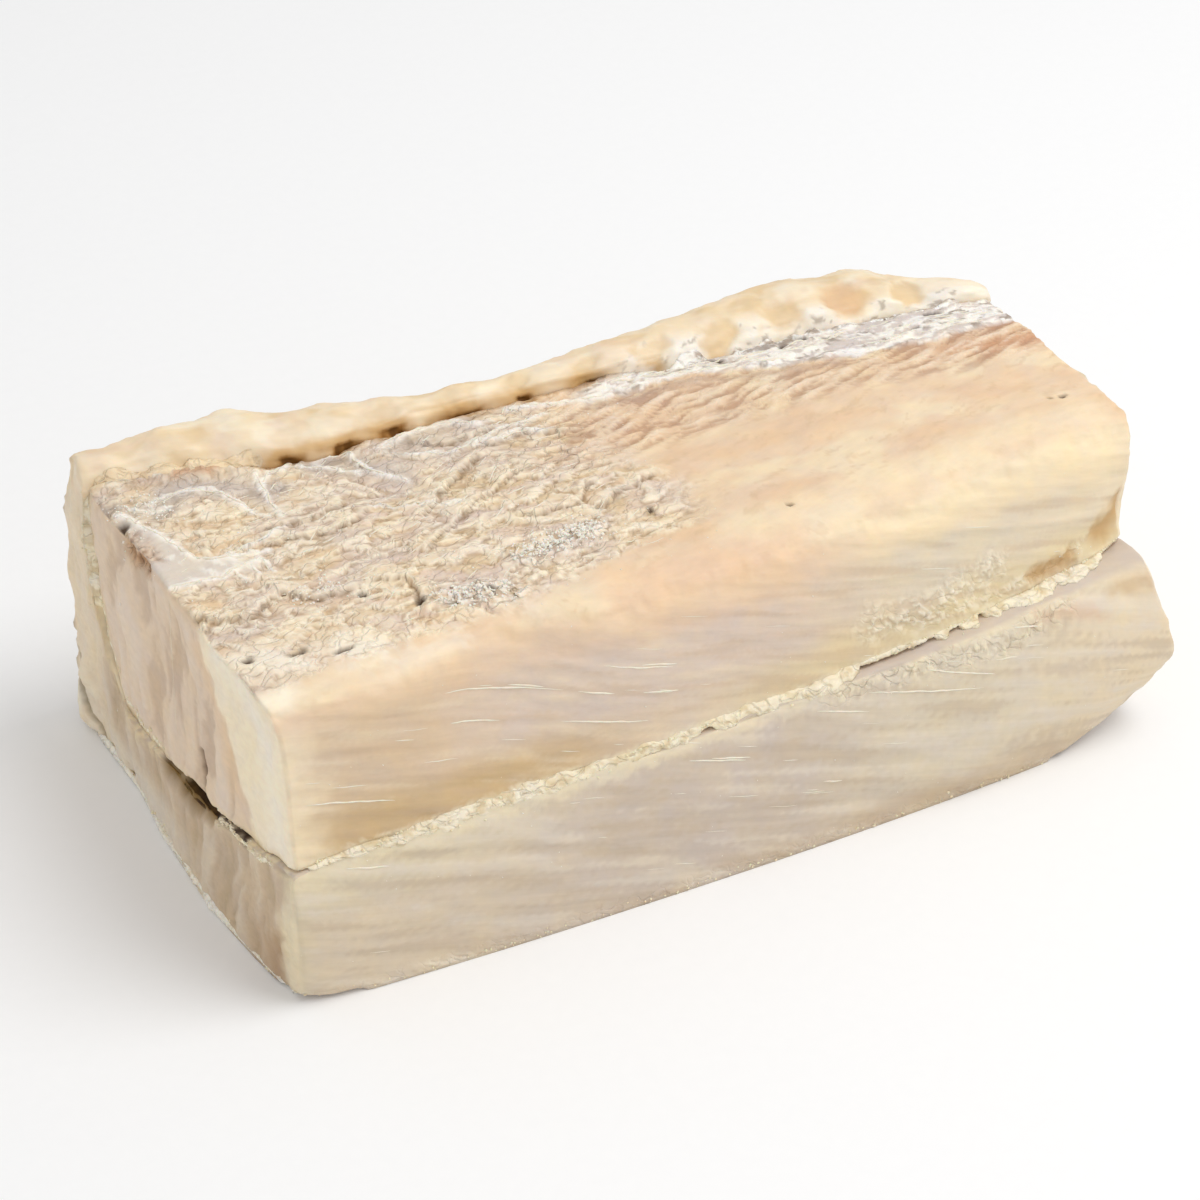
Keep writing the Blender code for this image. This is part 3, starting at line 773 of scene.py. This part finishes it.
end_waves = waves(wobble, (30, 5, 9))
by_seam = near(places, SEAM_ON_END, 3.0, (1, 2)) * rise(-x, 98, 101)
end_line = np.interp(z, (25, 33, 45, 57, 66), (38, 35, 30, 23, 14))
end_cream = at_left * rise(-y - end_line + (ragged - places)[:, 0] * 1.5, -1.2, 1.2)
end_colour = tint_and_shade(
    "e8d3bb",
    ("ecdccb", rise(flow, 0.05, 0.5) * 0.6),
    ("c6ac92", rise(-flow, 0.1, 0.55) * 0.6),
    ("ecd0ae", near(ragged, ((-16, 62), (-24, 50), (-30, 38)), 8, (1, 2)) * 0.8),
)
flesh = flesh + (end_colour - flesh) * (at_left * rise(67 - z, -1, 2))[:, None]
flesh = tint_and_shade(
    flesh,
    # Painted highlight: the left end lit along its rounded front corner, brightest at the corner with the top
    ("fff1d6", end_cream * 0.9),
    ("fff5e2", corner * 0.85),
    ("f0dfbc", by_seam * rise(lumps, -0.4, 0.2) * 0.7),
    # Darker tan on the slab's underside by the seam is painted shade
    ("cdb58c", by_seam * (1 - at_left) * 0.5),
    # The torn hollow on the left end: brown torn flesh deepened with painted shade, and its crack painted
    # near black as shade
    ("c08f5e", end_tear * 0.8),
    ("7d5430", end_tear * rise(lumps, 0.1, 0.4) * 0.8),
    ("5a3a1c", end_crack),
    ("f3e0c6", end_tear * rise(-lumps, 0.15, 0.4)),
    ("e8d7bb", at_right),
    ("f3e6cf", at_right * rise(end_waves, 0.0, 0.6) * 0.7),
    ("d6bf9f", at_right * rise(-end_waves, 0.1, 0.8) * 0.6),
    ("f2e3c4", at_right * rise(-y - z * 0.3 + wide * 6, 12, 30) * 0.7),
)
store(slab, "Flesh", flesh)
rough_patches = streaky * 0.25 + salted * 0.3 + film_tears * 0.4 + end_tear
store(slab, "Torn", 0.1 + torn * 0.5 + rough_patches - sheet * 0.4)
store(slab, "Film", np.maximum(np.maximum(strip, sheet), np.maximum(wet_patch, web) * 0.8))
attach(slab, "root")
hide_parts("upper_layer")
slab.data.materials.clear()
slab.data.materials.append(cured_flesh("cured_flesh_torn", 14))

# Torn edges of flesh that dried pale: the crumbly crust over the seam in front, the lips
# of the seam on the left end, the lining that bridges the crease, and the skin at the foot.

# Each face's two axes, the axis square to it, and the side of the block that it is on
FACES = {
    "top": (0, 1, 2, 1),
    "front": (0, 2, 1, -1),
    "back": (0, 2, 1, 1),
    "left": (1, 2, 0, -1),
}
# Millimetres: a place clear of the block, a strip's step and taper, and how deep its rim and its back lie
CLEAR = 200
STRIP_STEP = 0.7
STRIP_TAPER = 5
RIM_SUNK = 0.2
BACK_SUNK = 0.9
shapes = [BVHTree.FromObject(piece, bpy.context.evaluated_depsgraph_get()) for piece in (outer, slab)]
draw = random.Random(11)


def touch(face, a, b):
    """Where a line square to a face of the block meets the flesh, and the flesh's way out there."""
    first, second, depth, sign = FACES[face]
    start, way = Vector((0, 0, 0)), Vector((0, 0, 0))
    start[first], start[second], start[depth] = a * MM, b * MM, sign * CLEAR * MM
    way[depth] = -sign
    hits = [hit for hit in (shape.ray_cast(start, way) for shape in shapes) if hit[0]]
    return min(hits, key=lambda hit: hit[3])[:2] if hits else None


def strip_of_flesh(face, path, thick, across=7):
    """Rings of points round a ragged strip along a path of (a, b, reach up, reach down) on a face."""
    first, second, depth, sign = FACES[face]
    path = np.array(path, float)
    lengths = np.append(0, np.cumsum(np.hypot(*np.diff(path[:, :2], axis=0).T)))
    stops = np.arange(0, lengths[-1], STRIP_STEP)
    a, b, up, down = [np.interp(stops, lengths, path[:, k]) for k in range(4)]
    way = np.stack([np.gradient(a), np.gradient(b)], 1)
    way /= np.linalg.norm(way, axis=1)[:, None]
    rings = []
    for k, stop in enumerate(stops):
        taper = min(1, stop / STRIP_TAPER, (stops[-1] - stop) / STRIP_TAPER) ** 0.5
        spot = Vector((a[k] * 0.2, b[k] * 0.2, 3.1))
        above = up[k] * taper * (1 + 0.8 * noise.fractal(spot, 1.0, 2.5, 3)) + 0.05
        below = down[k] * taper * (1 + 0.8 * noise.fractal(spot + Vector((9, 0, 0)), 1.0, 2.5, 3)) + 0.05
        ring = []
        for share in np.linspace(0, 1, across):
            off = above - share * (above + below)
            ring.append((a[k] - way[k][1] * off, b[k] + way[k][0] * off, share))
        found = [touch(face, p, q) for p, q, _ in ring]
        if not (found[0] and found[-1]):
            continue
        ends = [found[0][0][depth] * sign / MM, found[-1][0][depth] * sign / MM]
        front, back = [], []
        for (p, q, share), hit in zip(ring, found):
            level = ends[0] + (ends[1] - ends[0]) * share
            out = max(level, hit[0][depth] * sign / MM) if hit else level
            bulge = math.sin(math.pi * share**0.75)
            lump = noise.fractal(Vector((p, q, out)) / 2.2, 0.7, 2, 3)
            proud = bulge * thick * (0.8 + 0.9 * lump) - RIM_SUNK
            for side, shift in ((front, proud), (back, -BACK_SUNK)):
                point = [0, 0, 0]
                point[first], point[second], point[depth] = p, q, (out + shift) * sign
                side.append(point)
        rings.append(front + back[-2:0:-1])
    return rings


def strips(name, rings_of, code, dark, material):
    """One mesh of closed strips, coloured between two hex values by the crumbs in it."""
    points, faces = [], []
    for rings in rings_of:
        base, size = len(points), len(rings[0])
        points += [point for ring in rings for point in ring]
        for k in range(len(rings) - 1):
            for j in range(size):
                low, high = base + k * size, base + (k + 1) * size
                faces.append((low + j, low + (j + 1) % size, high + (j + 1) % size, high + j))
        faces.append(tuple(range(base, base + size)))
        faces.append(tuple(range(len(points) - size, len(points))))
    mesh = bpy.data.meshes.new(name)
    mesh.from_pydata((np.array(points) * MM).tolist(), [], faces)
    piece = bpy.data.objects.new(name, mesh)
    bpy.context.scene.collection.objects.link(piece)
    select_only(piece)
    bpy.ops.object.mode_set(mode="EDIT")
    bpy.ops.mesh.select_all(action="SELECT")
    bpy.ops.mesh.normals_make_consistent(inside=False)
    bpy.ops.object.mode_set(mode="OBJECT")
    bpy.ops.object.shade_smooth()
    places = vectors_of(piece, "co") / MM
    tone = tint_and_shade(code, (dark, rise(waves(places, (2.4, 2.4, 1.6)), -0.1, 0.5)))
    store(piece, "Flesh", tone)
    store(piece, "Torn", np.full(len(places), 0.6))
    store(piece, "Film", np.zeros(len(places)))
    mesh.materials.append(material)
    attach(piece, "root")


CRUST_UP_X = (-101, -88, -74, -56, -38, -4, 14, 40, 102)
CRUST_UP = (0.3, 0.5, 0.9, 1.4, 1.2, 1.2, 1.1, 0.8, 0.5)
CRUST_DOWN_X = (-101, -88, -74, -60, -40, 0, 13, 40, 102)
CRUST_DOWN = (0.4, 1.0, 2.0, 2.0, 1.6, 1.5, 1.3, 1.1, 0.8)
steps = np.arange(-101, 103, 4)
seam = np.interp(steps, SEAM_X, SEAM_Z)
crust_up = np.interp(steps, CRUST_UP_X, CRUST_UP)
crust_down = np.interp(steps, CRUST_DOWN_X, CRUST_DOWN)
crust_path = list(zip(steps, seam, crust_up, crust_down))
crust_finish = cured_flesh("dry_crumbly_flesh", 0, 1.25)
strips("seam_crust", [strip_of_flesh("front", crust_path, 0.6)], "f4e8cf", "dfcdab", crust_finish)

lips = (
    (
        (43.8, 66, 0.7, 0.6),
        (43.2, 55, 0.5, 0.8),
        (41.8, 41, 0.7, 0.6),
        (39.4, 31, 0.6, 0.9),
        (34.6, 25, 0.8, 0.6),
    ),
    ((29, 22, 0.7, 0.7), (20, 20.6, 0.9, 0.6), (8, 22, 0.8, 0.6)),
    ((-20, 23.4, 0.5, 0.9), (-34, 26.6, 0.8, 1.0), (-48, 30.2, 0.5, 0.8)),
)
strips("seam_lips", [strip_of_flesh("left", path, 0.35) for path in lips], "fbf0d8", "dccaa8", crust_finish)

crease = [(a, float(np.interp(a, CREASE_X, CREASE_Y))) for a in range(-104, 104, 4)]
left_crease = [(a, b, 1.2, 1.6) for a, b in crease if a < -66]
lining = [(a, b, 0.9, 1.5) for a, b in crease if a > 14]
strips("crease_flesh", [strip_of_flesh("top", left_crease, 0.4)], "ecd6b6", "e0c6a2", crust_finish)
lining_finish = cured_flesh("dried_belly_lining", 14, 0.8)
strips("belly_lining", [strip_of_flesh("top", lining, 0.3, 9)], "fbf7f0", "b7a798", lining_finish)

foot_left = [(b, 1.2, 1.4, 1.1) for b in range(46, -57, -4)]
strips("foot_skin", [strip_of_flesh("left", foot_left, 0.9, 5)], "fdf7ea", "e2d3b6", crust_finish)

# White threads of dried connective tissue lie on the flesh: the torn fibre ends on the sawn
# faces, fine strands over the torn flakes, and frayed ends of the belly lining.

# Paths of the longest threads in front
FRONT_THREADS = (
    ((-64.5, 59.4), (-38, 52.6)),
    ((-50, 56.2), (-42, 54)),
    ((-36, 52), (-27.6, 49.7)),
    ((-18.4, 47.5), (-13.3, 45.8)),
    ((-30.1, 55.9), (-13.9, 51.5)),
    ((-63.8, 52.9), (-52.4, 49.8)),
    ((-40.7, 46.7), (-20.6, 41.6)),
    ((-97.5, 46.5), (-77.1, 41.2)),
    ((-21.8, 54.2), (-13.1, 51.9)),
    ((-22.3, 48.2), (-14.3, 46.0)),
    ((-90.6, 31.0), (-80.8, 28.2)),
    ((-13.5, 30.6), (0.4, 26.8)),
    ((16.9, 32.9), (29.8, 29.5)),
    ((28.8, 33.8), (42, 30.5), (58, 27)),
    ((45.6, 37.9), (44.3, 34.9), (48.3, 33.2), (60.9, 29.4)),
    ((60.6, 32.6), (66.7, 31.4)),
    ((65.9, 38.1), (73.7, 36.2)),
    ((17.1, 16.8), (22.2, 15.4)),
    ((-8.2, 29.6), (1.2, 27.1)),
)


def add_thread(lines, face, path, thick, sway):
    """Adds a tapering thread to the curve, laid on the flesh along the path and half sunk in it."""
    stops = []
    for (a, b), (c, d) in zip(path, path[1:]):
        count = max(3, round(math.hypot(c - a, d - b) / 0.9))
        stops += [(a + (c - a) * k / count, b + (d - b) * k / count) for k in range(count)]
    stops.append(path[-1])
    spots = []
    for k, (a, b) in enumerate(stops):
        off = noise.noise(Vector((a * 0.3, b * 0.3, 7))) * sway
        found = touch(face, a + off, b + off)
        if found:
            full = max(math.sin(math.pi * k / (len(stops) - 1)), 0.0) ** 0.6
            radius = max(full * thick * draw.uniform(0.8, 1.15), 0.02)
            spots.append((found[0] - found[1] * thick * 0.2 * MM, radius))
    if len(spots) < 3:
        return
    spline = lines.splines.new("POLY")
    spline.points.add(len(spots) - 1)
    for point, (spot, radius) in zip(spline.points, spots):
        point.co = (*spot, 1)
        point.radius = radius


lines = bpy.data.curves.new("threads", "CURVE")
lines.dimensions = "3D"
lines.bevel_depth = MM
lines.bevel_resolution = 1
lines.use_fill_caps = True
for path in FRONT_THREADS:
    add_thread(lines, "front", path, 0.22, 0.15)
for path, width in STRANDS:
    add_thread(lines, "top", path, width * 0.17, 0.8)
for _ in range(70):
    a, b = draw.uniform(-100, 98), draw.uniform(6, 62)
    run = draw.uniform(2, 8)
    face = draw.choice(("front", "front", "back"))
    add_thread(lines, face, ((a, b), (a + run, b - run * 0.27)), draw.uniform(0.06, 0.12), 0.1)
for _ in range(90):
    a, b = draw.uniform(-102, -10), draw.uniform(-34, 32)
    run, way = draw.uniform(2, 6), math.radians(draw.uniform(5, 50))
    path = ((a, b), (a + run * math.cos(way), b + run * math.sin(way)))
    add_thread(lines, "top", path, draw.uniform(0.1, 0.2), 0.4)
for _ in range(60):
    a = draw.uniform(8, 100)
    b = float(np.interp(a, CREASE_X, CREASE_Y)) - draw.uniform(2, 12) * min(1, a / 60)
    path = ((a, b), (a + draw.uniform(4, 9), b + draw.uniform(-2.4, 0.8)))
    add_thread(lines, "top", path, draw.uniform(0.14, 0.3), 0.6)
threads = bpy.data.objects.new("threads", lines)
bpy.context.scene.collection.objects.link(threads)
select_only(threads)
bpy.ops.object.convert(target="MESH")
threads = bpy.context.object
bpy.ops.object.shade_smooth()

TISSUE_PATCH = 2.38


def dried_tissue(name, pale, deep, rough):
    """Dried tissue or crumbs of it: off-white, patchy and a little see-through."""
    material = bpy.data.materials.new(name)
    material.use_nodes = True
    tree = material.node_tree
    shader = tree.nodes["Principled BSDF"]
    where = node(tree, "TexCoord", {}, "Object")
    patch = node(tree, "TexNoise", {"Vector": where, "Scale": per_metre(TISSUE_PATCH), "Detail": 3.0})
    colours = {0: patch, COLOUR_A: (*linear(pale), 1), COLOUR_B: (*linear(deep), 1)}
    mixed = node(tree, "Mix", colours, MIXED, data_type="RGBA")
    tree.links.new(mixed, shader.inputs["Base Color"])
    bump = node(tree, "Bump", {"Height": patch, "Strength": 0.3, "Distance": 0.0003})
    tree.links.new(bump, shader.inputs["Normal"])
    shader.inputs["Roughness"].default_value = rough
    shader.inputs["Subsurface Weight"].default_value = 0.2
    shader.inputs["Subsurface Scale"].default_value = 0.001
    return material


threads.data.materials.append(dried_tissue("dried_connective_tissue", "fbf2e4", "ead9bf", 0.6))
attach(threads, "root")

# Crumbs of flesh and salt: dry crumbs along the torn seam and the foot of the block,
# and coarse salt crystals that stuck to the flesh where the brine dried.


def grit(name, spots, stretch, material):
    """One mesh of many small lumps: each is a 20-faced ball, knocked out of shape and turned at random."""
    bpy.ops.mesh.primitive_ico_sphere_add(subdivisions=1, radius=1, location=(0, 0, 0))
    ball = bpy.context.object
    corners = np.array([v.co[:] for v in ball.data.vertices])
    sides = np.array([f.vertices[:] for f in ball.data.polygons])
    bpy.data.objects.remove(ball)
    points, faces = [], []
    for place, size in spots:
        shape = corners * np.array([draw.uniform(*stretch) for _ in range(3)])
        shape = shape * np.array([[draw.uniform(0.7, 1.25)] for _ in corners])
        spin = Vector([draw.uniform(-1, 1) for _ in range(3)]).to_track_quat("Z", "Y").to_matrix()
        faces += (sides + len(points) * len(corners)).tolist()
        points.append(shape @ np.array(spin).T * size * MM + np.array(place))
    mesh = bpy.data.meshes.new(name)
    mesh.from_pydata(np.concatenate(points).tolist(), [], faces)
    piece = bpy.data.objects.new(name, mesh)
    bpy.context.scene.collection.objects.link(piece)
    mesh.materials.append(material)
    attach(piece, "root")


def on_flesh(face, a, b, size):
    """A lump's place, sunk a little in the flesh, with its size; or nothing where the line misses."""
    found = touch(face, a, b)
    return [(found[0] - found[1] * size * 0.1 * MM, size)] if found else []


crumbs = []
for _ in range(420):
    a = draw.uniform(-96, 101)
    seam = float(np.interp(a, SEAM_X, SEAM_Z))
    deep = float(np.interp(a, CRUST_DOWN_X, CRUST_DOWN))
    crumbs += on_flesh("front", a, seam + 0.6 - abs(draw.gauss(0, 0.6)) * deep, draw.uniform(0.15, 0.42))
for path in lips:
    for _ in range(40):
        k = draw.randrange(len(path) - 1)
        share = draw.random()
        a, b = [path[k][n] + (path[k + 1][n] - path[k][n]) * share for n in (0, 1)]
        crumbs += on_flesh("left", a + draw.gauss(0, 0.8), b + draw.gauss(0, 0.8), draw.uniform(0.15, 0.4))
for _ in range(90):
    crumbs += on_flesh("left", draw.uniform(-57, 52), abs(draw.gauss(0, 1)) + 0.4, draw.uniform(0.15, 0.4))
for _ in range(110):
    above_floor = (draw.uniform(-104, 80), abs(draw.gauss(0, 0.8)) + 0.3)
    crumbs += on_flesh("front", *above_floor, draw.uniform(0.12, 0.35))
grit("flesh_crumbs", crumbs, (0.5, 1.5), dried_tissue("dry_flesh_crumbs", "f7ecd2", "dfcca4", 0.75))

# Salt lies along these lines; the second, longer one counts twice
SALT_DRIFTS = (((-55, -29.5), (-44, -33)), *[((-36, -23), (-17, -19.8))] * 2)
salt = []
for _ in range(330):
    a, b = draw.choice(SALT_DRIFTS)
    share = draw.random()
    spot = [a[n] + (b[n] - a[n]) * share + draw.gauss(0, 2) for n in (0, 1)]
    salt += on_flesh("top", *spot, draw.uniform(0.2, 0.5))
for _ in range(120):
    salt += on_flesh("top", draw.gauss(-97, 5), draw.gauss(29, 4), draw.uniform(0.15, 0.35))
for _ in range(70):
    salt += on_flesh("top", draw.uniform(-84, -72), draw.gauss(-14, 3), draw.uniform(0.15, 0.35))
for _ in range(220):
    salt += on_flesh("top", draw.uniform(-104, 10), draw.uniform(-40, 33), draw.uniform(0.1, 0.22))
for _ in range(90):
    salt += on_flesh("front", draw.uniform(-102, 102), draw.uniform(3, 66), draw.uniform(0.08, 0.16))
grit("salt_grains", salt, (0.7, 1.3), dried_tissue("coarse_salt", "fbf5ec", "e9ddce", 0.6))

# The stand for the picture: a matt white card floor, soft light from all round and
# one large soft light, and the camera that looks down on the front and the left end.

# The tooth of the card is drawn coarser than it is, so that it shows
CARD_TOOTH = 3.33
bpy.ops.mesh.primitive_plane_add(size=5, location=(0, 0, 0))
floor = bpy.context.object
floor.name = "floor"
card = bpy.data.materials.new("matt_white_card")
card.use_nodes = True
tree = card.node_tree
where = node(tree, "TexCoord", {}, "Object")
tooth = node(tree, "TexNoise", {"Vector": where, "Scale": per_metre(CARD_TOOTH), "Detail": 3.0})
shade = node(tree, "MapRange", {"Value": tooth, TO_LOW: 0.93, TO_HIGH: 0.95})
tree.links.new(shade, tree.nodes["Principled BSDF"].inputs["Base Color"])
tree.nodes["Principled BSDF"].inputs["Roughness"].default_value = 0.9
floor.data.materials.append(card)

world = bpy.data.worlds.new("soft_room")
world.use_nodes = True
world.node_tree.nodes["Background"].inputs["Color"].default_value = (1, 1, 1, 1)
world.node_tree.nodes["Background"].inputs["Strength"].default_value = 0.68
bpy.context.scene.world = world
key = bpy.data.objects.new("key_light", bpy.data.lights.new("key_light", "AREA"))
key.data.shape = "DISK"
key.data.size = 0.9
key.data.energy = 8
key.location = (0.55, -0.35, 1.15)
key.rotation_euler = (-key.location).to_track_quat("-Z", "Y").to_euler()
bpy.context.scene.collection.objects.link(key)

CAMERA_TURN = math.radians(-26.78)
CAMERA_RISE = math.radians(34.94)
CAMERA_FAR = 0.7457
CAMERA_LENS = 102.08
LOOKS_AT = Vector((-0.0049, 0.0022, 0.0328))
camera = bpy.data.objects.new("camera", bpy.data.cameras.new("camera"))
camera.data.lens = CAMERA_LENS
camera.data.sensor_width = 36
back = Vector(
    (
        math.sin(CAMERA_TURN) * math.cos(CAMERA_RISE),
        -math.cos(CAMERA_TURN) * math.cos(CAMERA_RISE),
        math.sin(CAMERA_RISE),
    )
)
camera.location = LOOKS_AT + back * CAMERA_FAR
camera.rotation_euler = (-back).to_track_quat("-Z", "Y").to_euler()
bpy.context.scene.collection.objects.link(camera)
bpy.context.scene.camera = camera
bpy.context.scene.view_settings.view_transform = "Standard"
